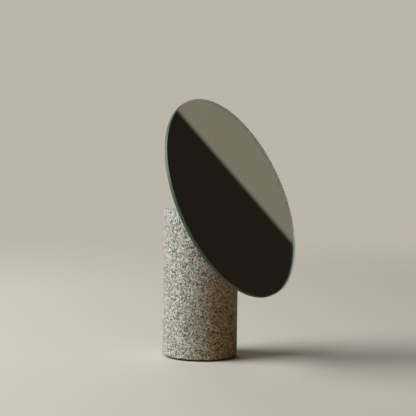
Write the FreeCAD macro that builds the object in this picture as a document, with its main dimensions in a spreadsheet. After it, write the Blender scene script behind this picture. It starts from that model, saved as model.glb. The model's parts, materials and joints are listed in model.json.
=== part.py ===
import FreeCAD, Part
import math
import os
import Sketcher
from FreeCAD import Placement, Rotation, Vector

# A round table mirror on a stone column. The mirror is a frameless disc of glass that faces -Y and
# leans back. A hidden fork in the top of the column lets it swivel about the column's axis and tilt
# about a bolt that lies level with the column's top face.
#
# Millimetres, +Z up. The origin is the centre of the foot, on the surface that the column stands on.

doc = FreeCAD.newDocument("ColumnMirror")
sheet = doc.addObject("Spreadsheet::Sheet", "Sizes")

DRIVING_SIZES = (
    # the stone column and its foot
    ("column_radius", 36.0),
    ("stone_height", 140.0),
    ("stone_arris", 1.0),
    ("foot_thickness", 1.5),
    ("foot_radius", 33.0),
    ("bore_depth", 60.0),
    # the swivel: a lined bore in the stone, two bushes and a spindle
    ("housing_radius", 11.5),
    ("well_radius", 10.25),
    ("well_depth", 13.5),
    ("bush_radius", 7.0),
    ("upper_bush_length", 11.0),
    ("lower_bush_length", 10.0),
    ("bush_flange", 1.5),
    ("flange_radius", 9.8),
    ("lower_flange_radius", 8.5),
    ("nut_well_radius", 9.0),
    ("nut_well_depth", 15.0),
    ("spindle_radius", 5.0),
    ("running_clearance", 0.05),
    ("thread_clearance", 0.02),
    ("spindle_end_gap", 0.5),
    ("thrust_washer_radius", 9.3),
    ("thrust_washer_thickness", 1.0),
    ("swivel_thread_radius", 4.0),
    ("swivel_spring_height", 2.1),
    ("swivel_spring_thickness", 0.6),
    ("swivel_washer_thickness", 1.5),
    ("swivel_nut_height", 6.5),
    ("swivel_nut_across", 13.0),
    ("nut_chamfer", 30.0),
    ("swivel_thread_overrun", 1.0),
    # the fork head and its tilt bolt
    ("head_radius", 9.5),
    ("head_rise", 6.0),
    ("head_rounding", 2.0),
    ("slot_width", 7.1),
    ("slot_depth", 6.6),
    ("web_front", 6.5),
    ("web_rise", 0.25),
    ("pivot_drop", 1.5),
    ("bolt_radius", 2.0),
    ("bolt_seat", 6.0),
    ("bolt_head_radius", 3.6),
    ("bolt_head_height", 2.4),
    ("nut_seat", 5.6),
    ("counterbore_radius", 4.3),
    ("tilt_spring_height", 1.1),
    ("tilt_spring_thickness", 0.4),
    ("tilt_spring_clearance", 0.15),
    ("tilt_nut_height", 2.2),
    ("tilt_nut_across", 7.0),
    ("bolt_socket_across", 2.5),
    ("bolt_socket_depth", 1.4),
    ("screw_arris", 0.35),
    # the arm between the bolt and the mirror
    ("arm_thickness", 6.0),
    ("arm_depth", 7.0),
    ("eye_radius", 6.0),
    ("washer_thickness", 0.5),
    ("heel_reach", 7.6),
    ("heel_low", 1.0),
    ("heel_high", 5.0),
    ("boss_radius", 11.0),
    ("boss_thickness", 4.0),
    # the mirror and what carries it, stacked along the mirror's own axis
    ("mirror_radius", 100.0),
    ("glass_thickness", 3.0),
    ("glass_arris", 0.25),
    ("silver_thickness", 0.1),
    ("backing_thickness", 0.2),
    ("coat_margin", 0.5),
    ("face_reach", 40.2),
    ("mirror_lean", 23.0),
    ("bond_thickness", 1.0),
    ("bond_radius", 19.0),
    ("plate_radius", 20.0),
    ("plate_thickness", 2.5),
    ("plate_arris", 0.6),
    ("plate_rise", 23.5),
    ("screw_radius", 1.5),
    ("screw_spacing", 6.5),
    ("screw_head_radius", 2.75),
    ("screw_head_height", 2.0),
    ("screw_length", 6.0),
    ("screw_socket_across", 2.0),
    ("screw_socket_depth", 1.2),
)


class Size:
    """A length or an angle that carries its value and the sheet formula that gives it."""

    def __init__(self, value, formula):
        self.value = value
        self.formula = formula

    def joined(self, sign, other, value):
        return Size(value, f"({self.formula} {sign} {as_size(other).formula})")

    def __add__(self, other):
        return self.joined("+", other, self.value + as_size(other).value)

    def __sub__(self, other):
        return self.joined("-", other, self.value - as_size(other).value)

    def __mul__(self, other):
        return self.joined("*", other, self.value * as_size(other).value)

    def __truediv__(self, other):
        return self.joined("/", other, self.value / as_size(other).value)

    def __neg__(self):
        return self * -1


def as_size(number):
    return number if isinstance(number, Size) else Size(number, f"{number:.6f}")


def sine(angle):
    return Size(math.sin(math.radians(angle.value)), f"sin({angle.formula} * 1 deg)")


def cosine(angle):
    return Size(math.cos(math.radians(angle.value)), f"cos({angle.formula} * 1 deg)")


def root(size):
    return Size(math.sqrt(size.value), f"sqrt({size.formula})")


SIZE = {}
for row, (alias, number) in enumerate(DRIVING_SIZES, start=1):
    sheet.set(f"A{row}", alias)
    sheet.set(f"B{row}", str(number))
    sheet.setAlias(f"B{row}", alias)
    SIZE[alias] = Size(number, f"Sizes.{alias}")
doc.recompute()

ZERO = Size(0.0, "0")


# ---- sketches and features ----------------------------------------------------------------------


def new_body(label):
    body = doc.addObject("PartDesign::Body", label)
    body.Label = label
    return body


def new_sketch(body, plane, offset=None):
    """An empty sketch on one of the body's origin planes, or at an offset along that plane's normal."""
    sketch = body.newObject("Sketcher::SketchObject", f"{body.Label}_sketch")
    support = next(f for f in body.Origin.OriginFeatures if f.Role == plane)
    sketch.AttachmentSupport = [(support, "")]
    sketch.MapMode = "FlatFace"
    if offset is not None:
        sketch.setExpression("AttachmentOffset.Base.z", offset.formula)
    return sketch


def pin_point(sketch, geometry, point, across, along):
    """Ties a point to its two coordinates in the sketch."""
    for kind, size, axis in (("DistanceX", across, -2), ("DistanceY", along, -1)):
        if abs(size.value) < 1e-9:
            sketch.addConstraint(Sketcher.Constraint("PointOnObject", geometry, point, axis))
            continue
        if size.value > 0:
            ends = (-1, 1, geometry, point)
            length = size
        else:
            ends = (geometry, point, -1, 1)
            length = -size
        index = sketch.addConstraint(Sketcher.Constraint(kind, *ends, length.value))
        sketch.setExpression(f"Constraints[{index}]", length.formula)


def polygon(body, plane, corners, offset=None):
    """A closed outline with straight sides. Each corner is a pair of sizes."""
    sketch = new_sketch(body, plane, offset)
    points = [Vector(across.value, along.value, 0) for across, along in corners]
    count = len(points)
    for index in range(count):
        sketch.addGeometry(Part.LineSegment(points[index], points[(index + 1) % count]), False)
    for index in range(count):
        following = (index + 1) % count
        sketch.addConstraint(Sketcher.Constraint("Coincident", index, 2, following, 1))
    for index, (across, along) in enumerate(corners):
        pin_point(sketch, index, 1, across, along)
    return sketch


def circles(body, plane, centres, radius, offset=None):
    sketch = new_sketch(body, plane, offset)
    for index, (across, along) in enumerate(centres):
        centre = Vector(across.value, along.value, 0)
        sketch.addGeometry(Part.Circle(centre, Vector(0, 0, 1), radius.value), False)
        pin_point(sketch, index, 3, across, along)
        bound = sketch.addConstraint(Sketcher.Constraint("Radius", index, radius.value))
        sketch.setExpression(f"Constraints[{bound}]", radius.formula)
    return sketch


HEX_SIDES = 6


def hexagon(body, across_flats, offset=None):
    corner = across_flats / (2 * math.cos(math.pi / HEX_SIDES))
    corners = []
    for step in range(HEX_SIDES):
        turn = 2 * math.pi * step / HEX_SIDES
        corners.append((snapped(corner, math.cos(turn)), snapped(corner, math.sin(turn))))
    return polygon(body, "XY_Plane", corners, offset)


def snapped(size, factor):
    return ZERO if abs(factor) < 1e-9 else size * factor


def spun(body, sketch, kind, axis):
    feature = body.newObject(f"PartDesign::{kind}", f"{body.Label}_{kind}")
    feature.Profile = sketch
    feature.ReferenceAxis = (sketch, [axis])
    feature.Angle = 360
    return feature


def raised(body, sketch, length):
    """A pad as deep as length, half of it on each side of the sketch."""
    pad = body.newObject("PartDesign::Pad", f"{body.Label}_pad")
    pad.Profile = sketch
    pad.setExpression("Length", length.formula)
    pad.SideType = "Symmetric"
    return pad


def sunk(body, sketch, length):
    """A pocket as wide as length, half of it on each side of the sketch."""
    pocket = body.newObject("PartDesign::Pocket", f"{body.Label}_pocket")
    pocket.Profile = sketch
    pocket.setExpression("Length", length.formula)
    pocket.SideType = "Symmetric"
    return pocket


def turned(label, outline):
    """A piece turned on a lathe: its outline of (radius, height) pairs spun about its own Z axis."""
    body = new_body(label)
    spun(body, polygon(body, "XZ_Plane", outline), "Revolution", "V_Axis")
    return body


def ring(label, inner, outer, low, high):
    return turned(label, ((inner, low), (outer, low), (outer, high), (inner, high)))


def disc(label, radius, low, high):
    return turned(label, ((ZERO, low), (radius, low), (radius, high), (ZERO, high)))


def group(label, pieces):
    together = doc.addObject("Part::Compound", label)
    together.Label = label
    together.Links = pieces
    return together


# ---- places -------------------------------------------------------------------------------------

column_top = SIZE["foot_thickness"] + SIZE["stone_height"]
pivot_height = column_top - SIZE["pivot_drop"]
back_of_glass = SIZE["face_reach"] - SIZE["glass_thickness"]
back_of_silver = back_of_glass - SIZE["silver_thickness"]
back_of_backing = back_of_silver - SIZE["backing_thickness"]
back_of_bond = back_of_backing - SIZE["bond_thickness"]
back_of_plate = back_of_bond - SIZE["plate_thickness"]
back_of_boss = back_of_plate - SIZE["boss_thickness"]


def stand(piece, height):
    """Puts the piece on the column's axis, its own origin at this height."""
    piece.setExpression("Placement.Base.z", height.formula)
    return piece


def along_bolt(piece):
    """Lays the piece along the tilt bolt: its own Z axis points along X, from the pivot."""
    piece.Placement = Placement(Vector(), Rotation(Vector(0, 1, 0), 90))
    return stand(piece, pivot_height)


def on_mirror(piece, aside=ZERO, rise=ZERO, reach=ZERO):
    """Puts the piece in the mirror's frame at the pivot: X level, Y up the glass, Z out of its face."""
    lean = SIZE["mirror_lean"]
    piece.Placement = Placement(Vector(), Rotation(Vector(1, 0, 0), 90 - lean.value))
    piece.setExpression("Placement.Rotation.Angle", f"90 - {lean.formula}")
    piece.setExpression("Placement.Base.x", aside.formula)
    back = rise * sine(lean) - reach * cosine(lean)
    piece.setExpression("Placement.Base.y", back.formula)
    up = pivot_height + rise * cosine(lean) + reach * sine(lean)
    piece.setExpression("Placement.Base.z", up.formula)
    return piece


# ---- the column ---------------------------------------------------------------------------------


def foot_pad():
    return disc("foot_pad", SIZE["foot_radius"], ZERO, SIZE["foot_thickness"])


def granite_column():
    """The stone, with a fine arris at both ends and a blind bore down from its top face."""
    radius = SIZE["column_radius"]
    arris = SIZE["stone_arris"]
    low = SIZE["foot_thickness"]
    bore_floor = column_top - SIZE["bore_depth"]
    return turned(
        "granite_column",
        (
            (ZERO, low),
            (radius - arris, low),
            (radius, low + arris),
            (radius, column_top - arris),
            (radius - arris, column_top),
            (SIZE["housing_radius"], column_top),
            (SIZE["housing_radius"], bore_floor),
            (ZERO, bore_floor),
        ),
    )


well_floor = column_top - SIZE["well_depth"]
housing_low = column_top - SIZE["bore_depth"]
lower_shoulder = housing_low + SIZE["nut_well_depth"]


def swivel_housing():
    """The sleeve bonded in the bore: a well for the fork's head, a bore for bushes, a well for the nut."""
    outer = SIZE["housing_radius"]
    lip = (outer - SIZE["well_radius"]) / 2
    return turned(
        "swivel_housing",
        (
            (SIZE["nut_well_radius"], housing_low),
            (outer, housing_low),
            (outer, column_top),
            (outer - lip, column_top),
            (SIZE["well_radius"], column_top - lip),
            (SIZE["well_radius"], well_floor),
            (SIZE["bush_radius"], well_floor),
            (SIZE["bush_radius"], lower_shoulder),
            (SIZE["nut_well_radius"], lower_shoulder),
        ),
    )


bush_bore = SIZE["spindle_radius"] + SIZE["running_clearance"]


def flanged_bush(label, shoulder, length, flange_radius, upward):
    """A plain bush whose tube runs from the shoulder into the housing, with its flange outside."""
    way = 1 if upward else -1
    tube_end = shoulder - length * way
    flange_end = shoulder + SIZE["bush_flange"] * way
    return turned(
        label,
        (
            (bush_bore, flange_end),
            (flange_radius, flange_end),
            (flange_radius, shoulder),
            (SIZE["bush_radius"], shoulder),
            (SIZE["bush_radius"], tube_end),
            (bush_bore, tube_end),
        ),
    )


def upper_bush():
    return flanged_bush(
        "upper_bush", well_floor, SIZE["upper_bush_length"], SIZE["flange_radius"], True
    )


def lower_bush():
    return flanged_bush(
        "lower_bush", lower_shoulder, SIZE["lower_bush_length"], SIZE["lower_flange_radius"], False
    )


washer_low = well_floor + SIZE["bush_flange"]
head_low = washer_low + SIZE["thrust_washer_thickness"]


def thrust_washer():
    return ring("thrust_washer", bush_bore, SIZE["thrust_washer_radius"], washer_low, head_low)


# ---- the fork that swivels in the column ----------------------------------------------------------

spring_top = lower_shoulder - SIZE["bush_flange"] - SIZE["running_clearance"]
spring_low = spring_top - SIZE["swivel_spring_height"]
nut_top = spring_low - SIZE["swivel_washer_thickness"]
nut_low = nut_top - SIZE["swivel_nut_height"]
spindle_low = nut_low - SIZE["swivel_thread_overrun"]


def swivel_fork():
    """The spindle and its forked head. The body's own origin is at the pivot."""
    head = SIZE["head_radius"]
    spindle = SIZE["spindle_radius"]
    thread = SIZE["swivel_thread_radius"]
    rise = SIZE["head_rise"]
    shoulder = spring_low + SIZE["spindle_end_gap"] - pivot_height
    fork = turned(
        "swivel_fork",
        (
            (ZERO, spindle_low - pivot_height),
            (thread, spindle_low - pivot_height),
            (thread, shoulder),
            (spindle, shoulder),
            (spindle, head_low - pivot_height),
            (head, head_low - pivot_height),
            (head, rise - SIZE["head_rounding"]),
            (head - SIZE["head_rounding"], rise),
            (ZERO, rise),
        ),
    )
    beyond = head * 2
    floor = -SIZE["slot_depth"]
    web = SIZE["web_rise"]
    slot = (
        (-SIZE["web_front"], floor),
        (beyond, floor),
        (beyond, beyond),
        (-beyond, beyond),
        (-beyond, web),
        (-SIZE["web_front"], web),
    )
    sunk(fork, polygon(fork, "YZ_Plane", slot), SIZE["slot_width"])
    bore = SIZE["bolt_radius"] + SIZE["running_clearance"]
    counterbore = SIZE["counterbore_radius"]
    cross_bore = (
        (-beyond, ZERO),
        (-beyond, counterbore),
        (-SIZE["bolt_seat"], counterbore),
        (-SIZE["bolt_seat"], bore),
        (SIZE["nut_seat"], bore),
        (SIZE["nut_seat"], counterbore),
        (beyond, counterbore),
        (beyond, ZERO),
    )
    spun(fork, polygon(fork, "XZ_Plane", cross_bore), "Groove", "H_Axis")
    return stand(fork, pivot_height)


def spring_pair(label, inner, outer, height, thickness):
    """Two disc springs back to back, which meet at their inner rims halfway up."""
    middle = height / 2
    lower = turned(
        f"{label}_lower",
        ((inner, middle - thickness), (outer, ZERO), (outer, thickness), (inner, middle)),
    )
    upper = turned(
        f"{label}_upper",
        ((inner, middle), (outer, height - thickness), (outer, height), (inner, middle + thickness)),
    )
    return lower, upper


def swivel_springs():
    pair = spring_pair(
        "swivel_spring",
        bush_bore,
        SIZE["lower_flange_radius"],
        SIZE["swivel_spring_height"],
        SIZE["swivel_spring_thickness"],
    )
    return group("swivel_springs", [stand(spring, spring_low) for spring in pair])


def swivel_washer():
    bore = SIZE["swivel_thread_radius"] + SIZE["running_clearance"]
    return ring("swivel_washer", bore, SIZE["lower_flange_radius"], nut_top, spring_low)


def hex_nut(label, across_flats, height, bore):
    """A nut from its own origin up, with its corners turned off at both ends."""
    nut = new_body(label)
    middle = height / 2
    raised(nut, hexagon(nut, across_flats, middle), height)
    sunk(nut, circles(nut, "XY_Plane", ((ZERO, ZERO),), bore, middle), height * 2)
    flat = across_flats / 2
    outside = across_flats
    drop = (outside - flat) * sine(SIZE["nut_chamfer"]) / cosine(SIZE["nut_chamfer"])
    for level, way in ((ZERO, 1), (height, -1)):
        edge = ((flat, level), (outside, level), (outside, level + drop * way))
        spun(nut, polygon(nut, "XZ_Plane", edge), "Groove", "V_Axis")
    return nut


def swivel_nut():
    nut = hex_nut(
        "swivel_nut",
        SIZE["swivel_nut_across"],
        SIZE["swivel_nut_height"],
        SIZE["swivel_thread_radius"] + SIZE["thread_clearance"],
    )
    return stand(nut, nut_low)


def socket_screw(label, head_radius, head_height, shank, length, socket_across, socket_depth):
    """A screw with its own origin under its head, its shank along +Z and a hex socket in its head."""
    arris = SIZE["screw_arris"]
    screw = turned(
        label,
        (
            (ZERO, -head_height),
            (head_radius - arris, -head_height),
            (head_radius, -head_height + arris),
            (head_radius, ZERO),
            (shank, ZERO),
            (shank, length - arris),
            (shank - arris, length),
            (ZERO, length),
        ),
    )
    sunk(screw, hexagon(screw, socket_across, -head_height), socket_depth * 2)
    return screw


def tilt_bolt():
    tail = SIZE["nut_seat"] + SIZE["tilt_spring_height"] + SIZE["tilt_nut_height"]
    bolt = socket_screw(
        "tilt_bolt",
        SIZE["bolt_head_radius"],
        SIZE["bolt_head_height"],
        SIZE["bolt_radius"],
        SIZE["bolt_seat"] + tail,
        SIZE["bolt_socket_across"],
        SIZE["bolt_socket_depth"],
    )
    along_bolt(bolt).setExpression("Placement.Base.x", (-SIZE["bolt_seat"]).formula)
    return bolt


def tilt_springs():
    pair = spring_pair(
        "tilt_spring",
        SIZE["bolt_radius"] + SIZE["tilt_spring_clearance"],
        SIZE["tilt_nut_across"] / 2,
        SIZE["tilt_spring_height"],
        SIZE["tilt_spring_thickness"],
    )
    for spring in pair:
        along_bolt(spring).setExpression("Placement.Base.x", SIZE["nut_seat"].formula)
    return group("tilt_springs", list(pair))


def tilt_nut():
    nut = hex_nut(
        "tilt_nut",
        SIZE["tilt_nut_across"],
        SIZE["tilt_nut_height"],
        SIZE["bolt_radius"] + SIZE["thread_clearance"],
    )
    seat = SIZE["nut_seat"] + SIZE["tilt_spring_height"]
    along_bolt(nut).setExpression("Placement.Base.x", seat.formula)
    return nut


# ---- the mirror and the arm that carries it -------------------------------------------------------


def tilt_arm():
    """Eye, bar, heel and boss. The heel meets the slot's floor when the mirror is tilted right back."""
    arm = new_body("tilt_arm")
    thickness = SIZE["arm_thickness"]
    raised(arm, circles(arm, "YZ_Plane", ((ZERO, ZERO),), SIZE["eye_radius"]), thickness)
    middle = back_of_boss + SIZE["boss_thickness"] / 2
    slope = SIZE["plate_rise"] / middle
    side = SIZE["arm_depth"] / 2 * root(slope * slope + 1)
    bar = (
        (-side, ZERO),
        (SIZE["plate_rise"] - side, middle),
        (SIZE["plate_rise"] + side, middle),
        (side, ZERO),
    )
    raised(arm, polygon(arm, "YZ_Plane", bar), thickness)
    heel = (
        (SIZE["heel_low"], ZERO),
        (SIZE["heel_high"], ZERO),
        (SIZE["heel_high"], -SIZE["heel_reach"]),
        (SIZE["heel_low"], -SIZE["heel_reach"]),
    )
    raised(arm, polygon(arm, "YZ_Plane", heel), thickness)
    boss = circles(arm, "XY_Plane", ((ZERO, SIZE["plate_rise"]),), SIZE["boss_radius"], middle)
    raised(arm, boss, SIZE["boss_thickness"])
    eye_bore = SIZE["bolt_radius"] + SIZE["running_clearance"]
    sunk(arm, circles(arm, "YZ_Plane", ((ZERO, ZERO),), eye_bore), thickness * 2)
    hole = SIZE["screw_radius"] + SIZE["running_clearance"]
    holes = circles(arm, "XY_Plane", screw_centres(SIZE["plate_rise"]), hole, middle)
    sunk(arm, holes, SIZE["boss_thickness"] * 2)
    return on_mirror(arm)


def screw_centres(rise):
    return ((-SIZE["screw_spacing"], rise), (SIZE["screw_spacing"], rise))


def friction_washers():
    """A plastic washer on each side of the arm's eye."""
    half = SIZE["arm_thickness"] / 2
    inner = SIZE["bolt_radius"] + SIZE["running_clearance"]
    washers = []
    for side, start in (("left", -half - SIZE["washer_thickness"]), ("right", half)):
        end = start + SIZE["washer_thickness"]
        washer = ring(f"friction_washer_{side}", inner, SIZE["eye_radius"], start, end)
        washers.append(along_bolt(washer))
    return group("friction_washers", washers)


def mirror_plate():
    """The steel disc that is bonded to the mirror, with two tapped holes for the arm's screws."""
    radius = SIZE["plate_radius"]
    arris = SIZE["plate_arris"]
    plate = turned(
        "mirror_plate",
        (
            (ZERO, ZERO),
            (radius - arris, ZERO),
            (radius, arris),
            (radius, SIZE["plate_thickness"]),
            (ZERO, SIZE["plate_thickness"]),
        ),
    )
    depth = SIZE["plate_thickness"] * 4
    sunk(plate, circles(plate, "XY_Plane", screw_centres(ZERO), SIZE["screw_radius"]), depth)
    return on_mirror(plate, rise=SIZE["plate_rise"], reach=back_of_plate)


def plate_screws():
    screws = []
    for side, aside in (("left", -SIZE["screw_spacing"]), ("right", SIZE["screw_spacing"])):
        screw = socket_screw(
            f"plate_screw_{side}",
            SIZE["screw_head_radius"],
            SIZE["screw_head_height"],
            SIZE["screw_radius"],
            SIZE["screw_length"],
            SIZE["screw_socket_across"],
            SIZE["screw_socket_depth"],
        )
        screws.append(on_mirror(screw, aside, SIZE["plate_rise"], back_of_boss))
    return group("plate_screws", screws)


def bond_pad():
    pad = disc("bond_pad", SIZE["bond_radius"], ZERO, SIZE["bond_thickness"])
    return on_mirror(pad, rise=SIZE["plate_rise"], reach=back_of_bond)


coat_radius = SIZE["mirror_radius"] - SIZE["coat_margin"]


def mirror_backing():
    backing = disc("mirror_backing", coat_radius, ZERO, SIZE["backing_thickness"])
    return on_mirror(backing, reach=back_of_backing)


def silver_layer():
    silver = disc("silver_layer", coat_radius, ZERO, SIZE["silver_thickness"])
    return on_mirror(silver, reach=back_of_silver)


def mirror_glass():
    """The glass disc, its edge ground flat with a fine arris at both faces."""
    radius = SIZE["mirror_radius"]
    arris = SIZE["glass_arris"]
    face = SIZE["glass_thickness"]
    glass = turned(
        "mirror_glass",
        (
            (ZERO, ZERO),
            (radius - arris, ZERO),
            (radius, arris),
            (radius, face - arris),
            (radius - arris, face),
            (ZERO, face),
        ),
    )
    return on_mirror(glass, reach=back_of_glass)


# ---- build, check and write -----------------------------------------------------------------------

PIECES = (
    foot_pad,
    granite_column,
    swivel_housing,
    upper_bush,
    lower_bush,
    thrust_washer,
    swivel_fork,
    swivel_springs,
    swivel_washer,
    swivel_nut,
    tilt_bolt,
    tilt_springs,
    tilt_nut,
    tilt_arm,
    friction_washers,
    mirror_plate,
    plate_screws,
    bond_pad,
    mirror_backing,
    silver_layer,
    mirror_glass,
)

nodes = [piece() for piece in PIECES]
doc.recompute()

for item in doc.Objects:
    if "Invalid" in item.State or "Error" in item.State:
        raise RuntimeError(f"{item.Label} failed: {item.State}")

os.makedirs("parts", exist_ok=True)
for node in nodes:
    shape = node.Shape
    if shape.isNull() or not shape.isValid() or not shape.Solids:
        raise RuntimeError(f"{node.Label} has no valid solid")
    shape.exportStep(f"parts/{node.Label}.step")
    box = shape.BoundBox
    print(
        f"{node.Label:18s} solids {len(shape.Solids)}  volume {shape.Volume:10.1f}  "
        f"x {box.XMin:7.2f} {box.XMax:7.2f}  y {box.YMin:7.2f} {box.YMax:7.2f}  "
        f"z {box.ZMin:7.2f} {box.ZMax:7.2f}"
    )
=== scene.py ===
import json
import math

import bmesh
import bpy
from mathutils import Matrix, Vector


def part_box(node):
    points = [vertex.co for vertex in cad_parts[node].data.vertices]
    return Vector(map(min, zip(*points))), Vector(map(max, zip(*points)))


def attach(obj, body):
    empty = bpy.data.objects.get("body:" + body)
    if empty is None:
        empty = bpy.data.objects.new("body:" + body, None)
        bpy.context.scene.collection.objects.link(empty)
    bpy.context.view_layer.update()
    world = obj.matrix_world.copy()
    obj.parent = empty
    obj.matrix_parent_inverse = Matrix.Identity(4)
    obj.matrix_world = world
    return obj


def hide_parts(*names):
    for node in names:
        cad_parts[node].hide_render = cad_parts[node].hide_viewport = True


# A round table mirror that turns and tilts on a column of speckled granite. Metres, +Z up, with
# the mirror facing -Y. The pieces come first, then the camera, and then the studio.

MM = 0.001

# ---- where the pieces lie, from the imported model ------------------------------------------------

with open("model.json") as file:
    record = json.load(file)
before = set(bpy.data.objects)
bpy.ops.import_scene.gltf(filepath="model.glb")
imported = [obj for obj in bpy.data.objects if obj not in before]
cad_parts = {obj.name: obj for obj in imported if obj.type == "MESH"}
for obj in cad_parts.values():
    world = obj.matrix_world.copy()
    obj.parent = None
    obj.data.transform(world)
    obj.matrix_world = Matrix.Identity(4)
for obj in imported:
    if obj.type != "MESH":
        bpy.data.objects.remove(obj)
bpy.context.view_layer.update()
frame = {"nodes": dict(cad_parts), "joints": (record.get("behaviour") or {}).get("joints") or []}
tilt_joint = next(joint for joint in frame["joints"] if joint["name"] == "tilt")

PIVOT = Vector(tilt_joint["pos_m"])
MIRROR_LEAN = math.radians(23.0)  # back from upright, with the joints at rest

# The mirror's own frame at the pivot: X level, Y up the glass and Z out of its face.
MIRROR_FRAME = Matrix.Translation(PIVOT) @ Matrix.Rotation(math.pi / 2 - MIRROR_LEAN, 4, "X")

# The mirror's layers, as heights on that frame's Z axis and depths from there.
GLASS_FACE = 40.2 * MM
GLASS_THICKNESS = 3.0 * MM
GLASS_BACK = GLASS_FACE - GLASS_THICKNESS
GLASS_ARRIS = 0.25 * MM
SILVER_FACE = GLASS_BACK + 0.02 * MM
SILVER_THICKNESS = 0.11 * MM
SILVER_EASE = 0.02 * MM
FILM_FACE = GLASS_BACK - 0.1 * MM
FILM_THICKNESS = 0.2 * MM
FILM_EASE = 0.05 * MM

STONE_ARRIS = 1.0 * MM
FOOT_EDGE = 0.4 * MM

DISC_SIDES = 256
COLUMN_SIDES = 192

SMOOTH_UNDER = 35.0  # degrees between two faces, for most pieces
LAYER_SMOOTH_UNDER = 15.0  # for the mirror's layers, whose arrises stay crisp
FLAT_UNDER = 0.3  # degrees between two facets of one flat face
SHARP_OVER = 30.0  # degrees between two faces whose edge is eased
SAME_PLACE = 0.001 * MM  # two points nearer than this are one

# ---- selecting and finishing --------------------------------------------------------------------


def deselect_all():
    for item in bpy.context.selected_objects:
        item.select_set(False)


def active(piece):
    deselect_all()
    piece.select_set(True)
    bpy.context.view_layer.objects.active = piece
    return piece


def named(piece, name):
    piece.name = name
    piece.data.name = name
    return piece


def pick(piece, kind, test):
    """In edit mode, selects the faces or edges for which test is true, and nothing else."""
    bpy.ops.mesh.select_mode(type=kind)
    bpy.ops.mesh.select_all(action="DESELECT")
    work = bmesh.from_edit_mesh(piece.data)
    for item in work.faces if kind == "FACE" else work.edges:
        item.select_set(test(item))
    bmesh.update_edit_mesh(piece.data)


def settled(piece, place=None):
    """Moves the piece's place into its mesh, so that its object sits at the origin."""
    if place is not None:
        piece.matrix_world = place @ piece.matrix_world
    active(piece)
    bpy.ops.object.transform_apply(location=True, rotation=True, scale=True)
    return piece


def smooth(piece, degrees=SMOOTH_UNDER):
    """Smooth over gentle turns, with every flat face left reading as flat."""
    active(piece)
    bpy.ops.object.shade_smooth_by_angle(angle=math.radians(degrees))
    weighted = piece.modifiers.new("flat_faces", "WEIGHTED_NORMAL")
    weighted.keep_sharp = True
    weighted.weight = 100  # the largest face decides
    bpy.ops.object.modifier_apply(modifier=weighted.name)
    return piece


def finished(piece, body, slot, *nodes):
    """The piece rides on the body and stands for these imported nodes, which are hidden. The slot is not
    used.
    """
    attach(piece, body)
    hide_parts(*nodes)
    return piece


def cylinder(name, radius, low, high, sides):
    """A plain cylinder on the Z axis between two heights, to be shaped further."""
    bpy.ops.mesh.primitive_cylinder_add(
        vertices=sides, radius=radius, depth=high - low, location=(0, 0, (low + high) / 2)
    )
    return settled(named(bpy.context.object, name))


def rim_edge(edge, radius, height):
    """True if both ends of the edge lie at this height, this far from the Z axis."""
    return all(
        abs(end.co.z - height) < SAME_PLACE
        and abs(math.hypot(end.co.x, end.co.y) - radius) < SAME_PLACE
        for end in edge.verts
    )


# ---- materials ----------------------------------------------------------------------------------


def new_material(name):
    material = bpy.data.materials.new(name)
    material.use_nodes = True
    tree = material.node_tree
    return material, tree, tree.nodes["Principled BSDF"]


def add_node(tree, kind, **settings):
    node = tree.nodes.new(kind)
    for key, value in settings.items():
        setattr(node, key, value)
    return node


def noise(tree, vector, scale, detail=2.0, roughness=0.5):
    node = add_node(tree, "ShaderNodeTexNoise")
    node.inputs["Scale"].default_value = scale
    node.inputs["Detail"].default_value = detail
    node.inputs["Roughness"].default_value = roughness
    tree.links.new(vector, node.inputs["Vector"])
    return node


def mix_colour(tree, factor, first, second, blend="MIX"):
    """Mixes two colours, each of which is a socket or a plain value."""
    node = add_node(tree, "ShaderNodeMix", data_type="RGBA", blend_type=blend)
    for socket, value in ((0, factor), (6, first), (7, second)):
        if isinstance(value, bpy.types.NodeSocket):
            tree.links.new(value, node.inputs[socket])
        else:
            node.inputs[socket].default_value = value
    return node.outputs[2]


def ramp(tree, factor, stops, interpolation="LINEAR"):
    node = add_node(tree, "ShaderNodeValToRGB")
    node.color_ramp.interpolation = interpolation
    elements = node.color_ramp.elements
    while len(elements) < len(stops):
        elements.new(1.0)
    for element, (position, colour) in zip(elements, stops):
        element.position = position
        element.color = (*colour, 1.0)
    tree.links.new(factor, node.inputs["Fac"])
    return node.outputs["Color"]


def scaled(tree, value, low, high):
    """A value between 0 and 1, stretched to lie between low and high."""
    node = add_node(tree, "ShaderNodeMapRange")
    node.inputs["To Min"].default_value = low
    node.inputs["To Max"].default_value = high
    tree.links.new(value, node.inputs["Value"])
    return node.outputs["Result"]


def group_with(name, inputs, outputs):
    """An empty node group with these named sockets, and its input and output nodes."""
    group = bpy.data.node_groups.new(name, "ShaderNodeTree")
    for label, kind, value in inputs:
        socket = group.interface.new_socket(label, in_out="INPUT", socket_type=kind)
        socket.default_value = value
    for label, kind in outputs:
        group.interface.new_socket(label, in_out="OUTPUT", socket_type=kind)
    return group, group.nodes.new("NodeGroupInput"), group.nodes.new("NodeGroupOutput")


def placed_group(tree, group, **values):
    """The group as a node, with its own values. An underscore stands for a space in a socket's name."""
    node = add_node(tree, "ShaderNodeGroup", node_tree=group)
    for label, value in values.items():
        node.inputs[label.replace("_", " ")].default_value = value
    return node


def bump(tree, height, distance, strength):
    node = add_node(tree, "ShaderNodeBump")
    node.inputs["Distance"].default_value = distance
    node.inputs["Strength"].default_value = strength
    tree.links.new(height, node.inputs["Height"])
    return node.outputs["Normal"]


def joined(tree, shader, **sockets):
    """Joins each of these outputs to the shader's socket of that name."""
    for label, output in sockets.items():
        tree.links.new(output, shader.inputs[label.replace("_", " ")])


def object_place(tree):
    """Each point's place in the piece's own coordinates."""
    return add_node(tree, "ShaderNodeTexCoord").outputs["Object"]


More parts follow.
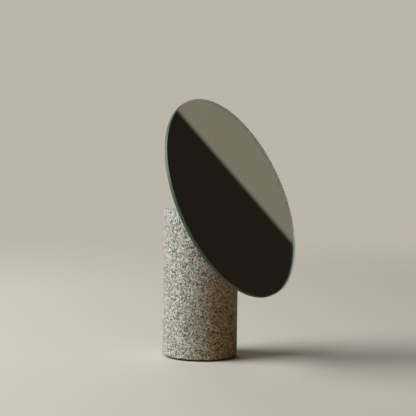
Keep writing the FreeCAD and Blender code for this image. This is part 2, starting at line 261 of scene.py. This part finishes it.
def grain_group():
    """Interlocking mineral grains with ragged borders, and a random number for each grain."""
    group, given, made = group_with(
        "mineral_grains",
        (
            ("Grain Scale", "NodeSocketFloat", 700.0),
            ("Raggedness", "NodeSocketFloat", 0.0005),
        ),
        (("Lot", "NodeSocketFloat"),),
    )
    waver_scale = 1600.0
    place = object_place(group)
    waver = noise(group, place, waver_scale)
    centred = add_node(group, "ShaderNodeVectorMath", operation="SUBTRACT")
    centred.inputs[1].default_value = (0.5, 0.5, 0.5)
    group.links.new(waver.outputs["Color"], centred.inputs[0])
    spread = add_node(group, "ShaderNodeVectorMath", operation="SCALE")
    group.links.new(centred.outputs[0], spread.inputs[0])
    group.links.new(given.outputs["Raggedness"], spread.inputs["Scale"])
    ragged = add_node(group, "ShaderNodeVectorMath", operation="ADD")
    group.links.new(place, ragged.inputs[0])
    group.links.new(spread.outputs[0], ragged.inputs[1])
    cells = add_node(group, "ShaderNodeTexVoronoi", feature="F1")
    group.links.new(ragged.outputs[0], cells.inputs["Vector"])
    group.links.new(given.outputs["Grain Scale"], cells.inputs["Scale"])
    lot = add_node(group, "ShaderNodeSeparateColor")
    group.links.new(cells.outputs["Color"], lot.inputs["Color"])
    group.links.new(lot.outputs["Red"], made.inputs["Lot"])
    return group


def brushed_group():
    """Fine scratches that run round the Z axis, and slow cloudiness, for turned and brushed metal."""
    group, given, made = group_with(
        "brushed_metal",
        (
            ("Colour", "NodeSocketColor", (0.5, 0.5, 0.5, 1.0)),
            ("Roughness Low", "NodeSocketFloat", 0.25),
            ("Roughness High", "NodeSocketFloat", 0.45),
        ),
        (
            ("Colour", "NodeSocketColor"),
            ("Roughness", "NodeSocketFloat"),
            ("Height", "NodeSocketFloat"),
        ),
    )
    scratch_stretch = (1.0, 1.0, 14.0)
    scratch_scale, scratch_share = 420.0, 0.6
    cloud_scale, cloud_share = 90.0, 0.4
    usual_low, usual_high = 0.3, 0.7
    darkest, lightest = 0.82, 1.1
    place = object_place(group)
    stretch = add_node(group, "ShaderNodeMapping")
    stretch.inputs["Scale"].default_value = scratch_stretch
    group.links.new(place, stretch.inputs["Vector"])
    scratches = noise(group, stretch.outputs["Vector"], scratch_scale, 4.0, 0.7)
    clouds = noise(group, place, cloud_scale)
    level = add_node(group, "ShaderNodeMath", operation="MULTIPLY_ADD")
    level.inputs[1].default_value = scratch_share
    group.links.new(scratches.outputs["Fac"], level.inputs[0])
    share = add_node(group, "ShaderNodeMath", operation="MULTIPLY")
    share.inputs[1].default_value = cloud_share
    group.links.new(clouds.outputs["Fac"], share.inputs[0])
    group.links.new(share.outputs[0], level.inputs[2])
    span = add_node(group, "ShaderNodeMapRange")
    span.inputs["From Min"].default_value = usual_low
    span.inputs["From Max"].default_value = usual_high
    group.links.new(level.outputs[0], span.inputs["Value"])
    group.links.new(given.outputs["Roughness Low"], span.inputs["To Min"])
    group.links.new(given.outputs["Roughness High"], span.inputs["To Max"])
    group.links.new(span.outputs["Result"], made.inputs["Roughness"])
    shade = scaled(group, level.outputs[0], darkest, lightest)
    tinted = add_node(group, "ShaderNodeVectorMath", operation="SCALE")
    group.links.new(given.outputs["Colour"], tinted.inputs[0])
    group.links.new(shade, tinted.inputs["Scale"])
    group.links.new(tinted.outputs[0], made.inputs["Colour"])
    group.links.new(scratches.outputs["Fac"], made.inputs["Height"])
    return group


def mottle_group():
    """Fine even grain with slow mottling, for rubber, plastic, film, foam, silvering and ground glass."""
    group, given, made = group_with(
        "fine_mottle",
        (
            ("Colour", "NodeSocketColor", (0.5, 0.5, 0.5, 1.0)),
            ("Grain Scale", "NodeSocketFloat", 900.0),
            ("Depth", "NodeSocketFloat", 0.15),
        ),
        (
            ("Colour", "NodeSocketColor"),
            ("Mask", "NodeSocketFloat"),
            ("Height", "NodeSocketFloat"),
        ),
    )
    mottle_scale = 35.0
    mean_product = 0.25  # of the two noises, each about a half
    swing_per_depth = 8.0
    place = object_place(group)
    grain = add_node(group, "ShaderNodeTexNoise")
    grain.inputs["Detail"].default_value = 4.0
    group.links.new(place, grain.inputs["Vector"])
    group.links.new(given.outputs["Grain Scale"], grain.inputs["Scale"])
    slow = noise(group, place, mottle_scale)
    both = add_node(group, "ShaderNodeMath", operation="MULTIPLY")
    group.links.new(grain.outputs["Fac"], both.inputs[0])
    group.links.new(slow.outputs["Fac"], both.inputs[1])
    centred = add_node(group, "ShaderNodeMath", operation="SUBTRACT")
    centred.inputs[1].default_value = mean_product
    group.links.new(both.outputs[0], centred.inputs[0])
    swing = add_node(group, "ShaderNodeMath", operation="MULTIPLY_ADD")
    swing.inputs[2].default_value = 1.0
    group.links.new(centred.outputs[0], swing.inputs[0])
    depth = add_node(group, "ShaderNodeMath", operation="MULTIPLY")
    depth.inputs[1].default_value = swing_per_depth
    group.links.new(given.outputs["Depth"], depth.inputs[0])
    group.links.new(depth.outputs[0], swing.inputs[1])
    tinted = add_node(group, "ShaderNodeVectorMath", operation="SCALE")
    group.links.new(given.outputs["Colour"], tinted.inputs[0])
    group.links.new(swing.outputs[0], tinted.inputs["Scale"])
    group.links.new(tinted.outputs[0], made.inputs["Colour"])
    group.links.new(slow.outputs["Fac"], made.inputs["Mask"])
    group.links.new(grain.outputs["Fac"], made.inputs["Height"])
    return group


MINERAL_GRAINS = grain_group()
BRUSHED_METAL = brushed_group()
FINE_MOTTLE = mottle_group()

# The granite's minerals. Each takes the grains from its number up to the next one's.
MINERALS = (
    (0.00, (0.15, 0.14, 0.12)),  # near-black
    (0.12, (0.32, 0.30, 0.27)),  # dark warm grey
    (0.24, (0.36, 0.40, 0.41)),  # blue-grey
    (0.37, (0.54, 0.48, 0.37)),  # tan
    (0.46, (0.50, 0.55, 0.50)),  # green-grey
    (0.61, (0.71, 0.69, 0.58)),  # cream
    (0.76, (0.73, 0.82, 0.82)),  # pale blue-grey
    (0.90, (0.94, 0.98, 0.96)),  # white
)
MICA_PICK = ((0.00, (1.0, 1.0, 1.0)), (0.08, (0.0, 0.0, 0.0)))
MICA_COLOUR = (0.12, 0.115, 0.105, 1.0)
STONE_CLOUDS = ((0.35, (0.83, 0.87, 0.92)), (0.65, (1.12, 1.10, 1.06)))


def granite():
    """White, grey and tan grains of about a millimetre with black mica, honed but not polished."""
    cloud_scale, relief_scale = 210.0, 750.0
    material, tree, shader = new_material("honed_granite")
    grains = placed_group(tree, MINERAL_GRAINS, Grain_Scale=980.0, Raggedness=0.0006)
    specks = placed_group(tree, MINERAL_GRAINS, Grain_Scale=820.0, Raggedness=0.0008)
    ground = ramp(tree, grains.outputs["Lot"], MINERALS, "CONSTANT")
    mica = ramp(tree, specks.outputs["Lot"], MICA_PICK, "CONSTANT")
    speckled = mix_colour(tree, mica, ground, MICA_COLOUR)
    place = object_place(tree)
    drift = ramp(tree, noise(tree, place, cloud_scale).outputs["Fac"], STONE_CLOUDS)
    relief = noise(tree, place, relief_scale, 3.0, 0.6)
    joined(
        tree,
        shader,
        Base_Color=mix_colour(tree, 1.0, speckled, drift, "MULTIPLY"),
        Roughness=scaled(tree, grains.outputs["Lot"], 0.48, 0.72),
        Normal=bump(tree, relief.outputs["Fac"], 1.2 * MM, 0.8),
    )
    shader.inputs["Specular IOR Level"].default_value = 0.1
    return material


def steel(name, colour, low, high):
    """Brushed metal of this colour, its roughness between low and high."""
    material, tree, shader = new_material(name)
    finish = placed_group(
        tree, BRUSHED_METAL, Colour=(*colour, 1.0), Roughness_Low=low, Roughness_High=high
    )
    joined(
        tree,
        shader,
        Base_Color=finish.outputs["Colour"],
        Roughness=finish.outputs["Roughness"],
        Normal=bump(tree, finish.outputs["Height"], 0.02 * MM, 0.6),
    )
    shader.inputs["Metallic"].default_value = 1.0
    return material


def mottled(name, colour, scale, depth, roughness, relief):
    """A soft plain finish: its grain's scale and depth, its range of roughness, and its relief."""
    material, tree, shader = new_material(name)
    finish = placed_group(
        tree, FINE_MOTTLE, Colour=(*colour, 1.0), Grain_Scale=scale, Depth=depth
    )
    joined(
        tree,
        shader,
        Base_Color=finish.outputs["Colour"],
        Roughness=scaled(tree, finish.outputs["Mask"], *roughness),
        Normal=bump(tree, finish.outputs["Height"], relief, 0.7),
    )
    return material


def silvering():
    material, tree, shader = new_material("silvering")
    finish = placed_group(
        tree, FINE_MOTTLE, Colour=(0.90, 0.915, 0.90, 1.0), Grain_Scale=300.0, Depth=0.004
    )
    joined(tree, shader, Base_Color=finish.outputs["Colour"])
    shader.inputs["Metallic"].default_value = 1.0
    shader.inputs["Roughness"].default_value = 0.0
    return material


GLASS_IOR = 1.52
GLASS_ABSORPTION = (0.10, 0.72, 0.50)
GLASS_DENSITY = 10.0


def green_within(tree):
    """Makes the body of the glass take up red, a little with each millimetre."""
    body = add_node(tree, "ShaderNodeVolumeAbsorption")
    body.inputs["Color"].default_value = (*GLASS_ABSORPTION, 1.0)
    body.inputs["Density"].default_value = GLASS_DENSITY
    tree.links.new(body.outputs["Volume"], tree.nodes["Material Output"].inputs["Volume"])


def clear_glass():
    """Float glass, all but colourless through its thickness and green along its length."""
    material, tree, shader = new_material("float_glass")
    shader.inputs["Base Color"].default_value = (1.0, 1.0, 1.0, 1.0)
    shader.inputs["Transmission Weight"].default_value = 1.0
    shader.inputs["Roughness"].default_value = 0.0
    shader.inputs["IOR"].default_value = GLASS_IOR
    green_within(tree)
    return material


def ground_glass():
    """The disc's edge, ground flat and left satin, so that it glows green with the light inside it."""
    material, tree, shader = new_material("ground_glass_edge")
    finish = placed_group(
        tree, FINE_MOTTLE, Colour=(0.26, 0.62, 0.42, 1.0), Grain_Scale=1400.0, Depth=0.05
    )
    joined(
        tree,
        shader,
        Base_Color=finish.outputs["Colour"],
        Roughness=scaled(tree, finish.outputs["Mask"], 0.46, 0.54),
    )
    shader.inputs["Specular Tint"].default_value = (0.84, 1.0, 0.84, 1.0)
    shader.inputs["Transmission Weight"].default_value = 0.85
    shader.inputs["IOR"].default_value = GLASS_IOR
    green_within(tree)
    return material


# ---- the visible pieces ---------------------------------------------------------------------------


def rounded_rims(piece, radius, heights, width, segments):
    """In edit mode, bevels the piece's outer rims at these heights."""
    for height in heights:
        pick(piece, "EDGE", lambda edge: rim_edge(edge, radius, height))
        bpy.ops.mesh.bevel(offset=width, segments=segments, profile=0.5)


def stone_column():
    """The granite cylinder, its bore opened in the top face and both arrises rounded."""
    low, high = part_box("granite_column")
    radius = high.x
    bore_low, bore_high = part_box("swivel_housing")
    column = cylinder("stone_column", radius, low.z, high.z, COLUMN_SIDES)
    active(column)
    bpy.ops.object.mode_set(mode="EDIT")
    pick(column, "FACE", lambda face: face.normal.z > 0.9)
    bpy.ops.mesh.inset(thickness=radius - bore_high.x)
    bpy.ops.mesh.extrude_region_move(
        TRANSFORM_OT_translate={"value": (0, 0, bore_low.z - high.z)}
    )
    rounded_rims(column, radius, (low.z, high.z), STONE_ARRIS, 4)
    bpy.ops.object.mode_set(mode="OBJECT")
    column.data.materials.append(granite())
    smooth(column)
    return finished(column, "column", "granite", "granite_column")


def foot_disc():
    """The rubber foot, set in from the stone so that the column stands on a thin dark line."""
    low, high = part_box("foot_pad")
    disc = cylinder("foot_disc", high.x, low.z, high.z, COLUMN_SIDES)
    active(disc)
    bpy.ops.object.mode_set(mode="EDIT")
    rounded_rims(disc, high.x, (low.z,), FOOT_EDGE, 3)
    bpy.ops.object.mode_set(mode="OBJECT")
    disc.data.materials.append(FOOT_RUBBER)
    smooth(disc)
    return finished(disc, "column", "foot_rubber", "foot_pad")


def round_layer(name, node, back, face, ease):
    """One layer of the mirror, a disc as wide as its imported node, with both its rims eased."""
    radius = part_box(node)[1].x
    disc = cylinder(name, radius, back, face, DISC_SIDES)
    active(disc)
    bpy.ops.object.mode_set(mode="EDIT")
    rounded_rims(disc, radius, (back, face), ease, 2)
    bpy.ops.object.mode_set(mode="OBJECT")
    return disc


def layer_in_place(disc, slot, node):
    """Smooths a layer, carries it to the mirror's frame and lets it ride there."""
    smooth(disc, LAYER_SMOOTH_UNDER)
    settled(disc, MIRROR_FRAME)
    return finished(disc, "mirror_head", slot, node)


def glass_disc():
    """The mirror's glass, with a flat ground edge and a fine arris at both faces."""
    disc = round_layer("glass_disc", "mirror_glass", GLASS_BACK, GLASS_FACE, GLASS_ARRIS)
    disc.data.materials.append(clear_glass())
    disc.data.materials.append(ground_glass())
    active(disc)
    bpy.ops.object.mode_set(mode="EDIT")
    pick(disc, "FACE", lambda face: abs(face.normal.z) < 0.99)
    disc.active_material_index = 1
    bpy.ops.object.material_slot_assign()
    bpy.ops.object.mode_set(mode="OBJECT")
    return layer_in_place(disc, "glass", "mirror_glass")


def silver_disc():
    """The silvering. It stands a hair inside the glass, so that no film of air shows between them."""
    back = SILVER_FACE - SILVER_THICKNESS
    disc = round_layer("silver_disc", "silver_layer", back, SILVER_FACE, SILVER_EASE)
    disc.data.materials.append(silvering())
    return layer_in_place(disc, "silver", "silver_layer")


def backing_disc():
    """The grey protective film over the back of the silvering."""
    back = FILM_FACE - FILM_THICKNESS
    disc = round_layer("backing_disc", "mirror_backing", back, FILM_FACE, FILM_EASE)
    disc.data.materials.append(BACKING_FILM)
    return layer_in_place(disc, "backing_film", "mirror_backing")


def eased(node, name, body, slot, material, width):
    """A metal part with its sharp edges eased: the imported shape, joined up, bevelled and smoothed."""
    mesh = frame["nodes"][node].data.copy()
    piece = bpy.data.objects.new(name, mesh)
    bpy.context.scene.collection.objects.link(piece)
    named(piece, name)
    mesh.materials.clear()
    mesh.materials.append(material)
    active(piece)
    bpy.ops.object.mode_set(mode="EDIT")
    bpy.ops.mesh.select_all(action="SELECT")
    bpy.ops.mesh.remove_doubles(threshold=SAME_PLACE)
    bpy.ops.mesh.dissolve_limited(angle_limit=math.radians(FLAT_UNDER))
    bpy.ops.object.mode_set(mode="OBJECT")
    edges = piece.modifiers.new("eased_edges", "BEVEL")
    edges.width = width
    edges.segments = 2
    edges.limit_method = "ANGLE"
    edges.angle_limit = math.radians(SHARP_OVER)
    edges.use_clamp_overlap = True
    bpy.ops.object.modifier_apply(modifier=edges.name)
    smooth(piece)
    return finished(piece, body, slot, node)


TURNED_STEEL = steel("turned_steel", (0.55, 0.54, 0.52), 0.26, 0.42)
SPRING_STEEL = steel("spring_steel", (0.20, 0.20, 0.23), 0.3, 0.45)
PLATED_STEEL = steel("plated_steel", (0.62, 0.62, 0.64), 0.2, 0.35)
FASTENER_STEEL = steel("fastener_steel", (0.38, 0.38, 0.39), 0.3, 0.45)
FOOT_RUBBER = mottled("foot_rubber", (0.030, 0.028, 0.027), 1500.0, 0.05, (0.75, 0.9), 0.05 * MM)
BUSH_PLASTIC = mottled("bush_plastic", (0.75, 0.74, 0.70), 700.0, 0.02, (0.4, 0.5), 0.01 * MM)
FOAM_TAPE = mottled("foam_tape", (0.05, 0.05, 0.05), 2500.0, 0.1, (0.85, 0.95), 0.1 * MM)
BACKING_FILM = mottled(
    "backing_film", (0.13, 0.13, 0.125), 600.0, 0.03, (0.4, 0.55), 0.02 * MM
)

stone_column()
foot_disc()
glass_disc()
silver_disc()
backing_disc()
eased("swivel_housing", "housing", "column", "steel", TURNED_STEEL, 0.25 * MM)
eased("swivel_fork", "fork_head", "fork", "steel", TURNED_STEEL, 0.25 * MM)
eased("tilt_bolt", "pivot_bolt", "fork", "fastener_steel", FASTENER_STEEL, 0.15 * MM)
eased("tilt_nut", "pivot_nut", "fork", "fastener_steel", FASTENER_STEEL, 0.15 * MM)
eased("tilt_arm", "arm", "mirror_head", "steel", TURNED_STEEL, 0.35 * MM)
eased("mirror_plate", "plate", "mirror_head", "steel", TURNED_STEEL, 0.2 * MM)
eased("plate_screws", "screws", "mirror_head", "fastener_steel", FASTENER_STEEL, 0.12 * MM)

HIDDEN_FINISHES = {
    "upper_bush": BUSH_PLASTIC,
    "lower_bush": BUSH_PLASTIC,
    "thrust_washer": BUSH_PLASTIC,
    "friction_washers": BUSH_PLASTIC,
    "swivel_springs": SPRING_STEEL,
    "swivel_washer": SPRING_STEEL,
    "tilt_springs": SPRING_STEEL,
    "swivel_nut": PLATED_STEEL,
    "bond_pad": FOAM_TAPE,
}
for node, finish in HIDDEN_FINISHES.items():
    packed = frame["nodes"][node]
    packed.data.materials.clear()
    packed.data.materials.append(finish)

# ---- the camera -----------------------------------------------------------------------------------

CAMERA_PLACE = Vector((-982.8, -619.6, 209.5)) * MM
CAMERA_TURN = math.radians(-58.08)
CAMERA_PITCH = math.radians(3.27)
CAMERA_ROLL = math.radians(0.783)
CAMERA_LENS = 104.54
CAMERA_SENSOR = 36.0
CAMERA_SEES = (0.05, 50.0)

camera_data = bpy.data.cameras.new("camera")
camera_data.lens = CAMERA_LENS
camera_data.sensor_width = CAMERA_SENSOR
camera_data.clip_start, camera_data.clip_end = CAMERA_SEES
camera = bpy.data.objects.new("camera", camera_data)
bpy.context.scene.collection.objects.link(camera)
camera.matrix_world = (
    Matrix.Translation(CAMERA_PLACE)
    @ Matrix.Rotation(CAMERA_TURN, 4, "Z")
    @ Matrix.Rotation(math.pi / 2 - CAMERA_PITCH, 4, "X")
    @ Matrix.Rotation(CAMERA_ROLL, 4, "Z")
)
bpy.context.scene.camera = camera

# ---- the studio -----------------------------------------------------------------------------------

BACKDROP_PALE = (0.50, 0.46, 0.40)
ROOM_GLOW = (0.013, 0.0045, 0.001)


def looked_at(tree):
    """1 where a surface is seen, in the open or in metal and glass, and 0 where it only gives light."""
    light_path = add_node(tree, "ShaderNodeLightPath")
    mirrored = add_node(tree, "ShaderNodeMath", operation="MAXIMUM")
    tree.links.new(light_path.outputs["Is Glossy Ray"], mirrored.inputs[0])
    tree.links.new(light_path.outputs["Is Transmission Ray"], mirrored.inputs[1])
    seen = add_node(tree, "ShaderNodeMath", operation="MAXIMUM")
    tree.links.new(light_path.outputs["Is Camera Ray"], seen.inputs[0])
    tree.links.new(mirrored.outputs[0], seen.inputs[1])
    return seen.outputs[0]


def fade_out(tree, surface, near, far):
    """Lets the surface thin away to nothing between these distances from the object's own origin."""
    distance = add_node(tree, "ShaderNodeVectorMath", operation="LENGTH")
    tree.links.new(object_place(tree), distance.inputs[0])
    fade = add_node(tree, "ShaderNodeMapRange", interpolation_type="SMOOTHSTEP")
    fade.inputs["From Min"].default_value = near
    fade.inputs["From Max"].default_value = far
    tree.links.new(distance.outputs["Value"], fade.inputs["Value"])
    clear = add_node(tree, "ShaderNodeBsdfTransparent")
    blend = add_node(tree, "ShaderNodeMixShader")
    tree.links.new(fade.outputs["Result"], blend.inputs[0])
    tree.links.new(surface, blend.inputs[1])
    tree.links.new(clear.outputs[0], blend.inputs[2])
    tree.links.new(blend.outputs[0], tree.nodes["Material Output"].inputs["Surface"])


def studio_world():
    """Pale to the eye and in glass and metal, and a dim warm glow for everything else."""
    world = bpy.data.worlds.new("studio")
    world.use_nodes = True
    bpy.context.scene.world = world
    tree = world.node_tree
    colour = mix_colour(tree, looked_at(tree), (*ROOM_GLOW, 1.0), (*BACKDROP_PALE, 1.0))
    background = tree.nodes["Background"]
    tree.links.new(colour, background.inputs["Color"])
    background.inputs["Strength"].default_value = 1.0


FLOOR_RADIUS = 3.0
FLOOR_PALE = (0.72, 0.665, 0.59)
FLOOR_BOUNCE = (0.38, 0.20, 0.065)
FLOOR_FADE = (0.45, 1.5)


def studio_floor():
    """A pale floor that fades into the backdrop, and throws back only a little warm light."""
    bpy.ops.mesh.primitive_circle_add(vertices=128, radius=FLOOR_RADIUS, fill_type="NGON")
    floor = named(bpy.context.object, "studio_floor")
    material, tree, shader = new_material("studio_floor")
    colour = mix_colour(tree, looked_at(tree), (*FLOOR_BOUNCE, 1.0), (*FLOOR_PALE, 1.0))
    joined(tree, shader, Base_Color=colour)
    shader.inputs["Roughness"].default_value = 0.8
    shader.inputs["Specular IOR Level"].default_value = 0.1
    fade_out(tree, shader.outputs[0], *FLOOR_FADE)
    floor.data.materials.append(material)


LAMP_DISTANCE = 2.4
LAMP_AIM = Vector((0, 0, 130 * MM))


def soft_lamp(name, azimuth, elevation, size, power, colour, mirrored=False):
    """A round lamp that faces the object, from the camera's side turned to its left by the azimuth."""
    toward_camera = math.atan2(CAMERA_PLACE.y, CAMERA_PLACE.x)
    turn = toward_camera - math.radians(azimuth)
    lift = math.radians(elevation)
    way = Vector(
        (math.cos(turn) * math.cos(lift), math.sin(turn) * math.cos(lift), math.sin(lift))
    )
    data = bpy.data.lights.new(name, "AREA")
    data.shape = "DISK"
    data.size = size
    data.energy = power
    data.color = colour
    lamp = bpy.data.objects.new(name, data)
    bpy.context.scene.collection.objects.link(lamp)
    lamp.location = LAMP_AIM + way * LAMP_DISTANCE
    lamp.rotation_mode = "QUATERNION"
    lamp.rotation_quaternion = (-way).to_track_quat("-Z", "Y")
    lamp.visible_camera = False
    lamp.visible_glossy = mirrored
    lamp.visible_transmission = mirrored


def glow_only(name):
    """A material that gives off plain light, and its glow."""
    material, tree, shader = new_material(name)
    tree.nodes.remove(shader)
    return material, tree, add_node(tree, "ShaderNodeEmission")


def hidden_card(card, material):
    """Gives the card its glow, and lets only the glass and the metal see it."""
    card.data.materials.append(material)
    card.visible_camera = False
    card.visible_diffuse = False
    card.visible_shadow = False


# The line on the glass, in the mirror's own frame, where the dark half of the reflected room begins,
# and a place in that half.
REFLECTED_EDGE = ((-47.2 * MM, 88.1 * MM), (82.4 * MM, -52.8 * MM))
IN_DARK_HALF = (-60.0 * MM, -50.0 * MM)
CARD_DISTANCE = 1.1
CARD_RADIUS = 1.3
CARD_FADE = (0.8, 1.3)
CARD_SOFTNESS = 0.005
DARK_ROOM = (0.0163, 0.0116, 0.0080)
TAUPE_WALL = (0.2215, 0.187, 0.142)


def reflected_ray(across, up):
    """This point of the glass's face, and the way that the camera's ray goes on from it."""
    normal = (MIRROR_FRAME.to_3x3() @ Vector((0, 0, 1))).normalized()
    point = MIRROR_FRAME @ Vector((across, up, GLASS_FACE))
    return point, (point - CAMERA_PLACE).normalized().reflect(normal)


def reflected_point(across, up, plane_point, plane_normal):
    """Where the camera's ray to this point of the glass goes on to meet a plane."""
    point, ray = reflected_ray(across, up)
    return point + ray * ((plane_point - point).dot(plane_normal) / ray.dot(plane_normal))


def reflected_card():
    """What the glass shows the camera: a wall in soft light above, and a dark room below it."""
    centre, ray = reflected_ray(0, 0)
    middle = centre + ray * CARD_DISTANCE
    start, end = (reflected_point(x, y, middle, ray) for x, y in REFLECTED_EDGE)
    dark_side = reflected_point(*IN_DARK_HALF, middle, ray)
    along = (end - start).normalized()
    across = (dark_side - start) - along * (dark_side - start).dot(along)
    across = -across.normalized()
    facing = along.cross(across)
    bpy.ops.mesh.primitive_circle_add(vertices=64, radius=CARD_RADIUS, fill_type="NGON")
    card = named(bpy.context.object, "reflected_card")
    turn = Matrix((along, across, facing)).transposed().to_4x4()
    card.matrix_world = Matrix.Translation((start + end) / 2) @ turn
    material, tree, glow = glow_only("reflected_card")
    place = add_node(tree, "ShaderNodeSeparateXYZ")
    tree.links.new(object_place(tree), place.inputs[0])
    rise = add_node(tree, "ShaderNodeMapRange", interpolation_type="SMOOTHSTEP")
    rise.inputs["From Min"].default_value = -CARD_SOFTNESS
    rise.inputs["From Max"].default_value = CARD_SOFTNESS
    tree.links.new(place.outputs["Y"], rise.inputs["Value"])
    colour = mix_colour(tree, rise.outputs["Result"], (*DARK_ROOM, 1.0), (*TAUPE_WALL, 1.0))
    tree.links.new(colour, glow.inputs["Color"])
    fade_out(tree, glow.outputs[0], *CARD_FADE)
    hidden_card(card, material)


OVERHEAD_PLACE = (0.2, -0.4, 2.4)
OVERHEAD_SPREAD = (3.0, 0.85, 1.0)
OVERHEAD_FADE = (0.6, 1.0)
OVERHEAD_COLOUR = (0.93, 1.0, 0.96)
OVERHEAD_GLOW = 1.8


def overhead_card():
    """A long pale card overhead, soft at its edges, for the glass's edge and the metal to show."""
    bpy.ops.mesh.primitive_circle_add(
        vertices=64, radius=1.0, fill_type="NGON", location=OVERHEAD_PLACE
    )
    card = named(bpy.context.object, "overhead_card")
    card.scale = OVERHEAD_SPREAD
    material, tree, glow = glow_only("overhead_card")
    glow.inputs["Color"].default_value = (*OVERHEAD_COLOUR, 1.0)
    glow.inputs["Strength"].default_value = OVERHEAD_GLOW
    fade_out(tree, glow.outputs[0], *OVERHEAD_FADE)
    hidden_card(card, material)


studio_world()
studio_floor()
overhead_card()
soft_lamp(
    "window", azimuth=80, elevation=38, size=2.0, power=76, colour=(0.93, 0.99, 1.0), mirrored=True
)
soft_lamp("warm_fill", azimuth=30, elevation=15, size=2.0, power=2.6, colour=(1.0, 0.70, 0.40))
soft_lamp("back_fill", azimuth=168, elevation=25, size=1.4, power=10, colour=(1.0, 0.97, 0.93))
reflected_card()

bpy.context.scene.view_settings.view_transform = "Standard"
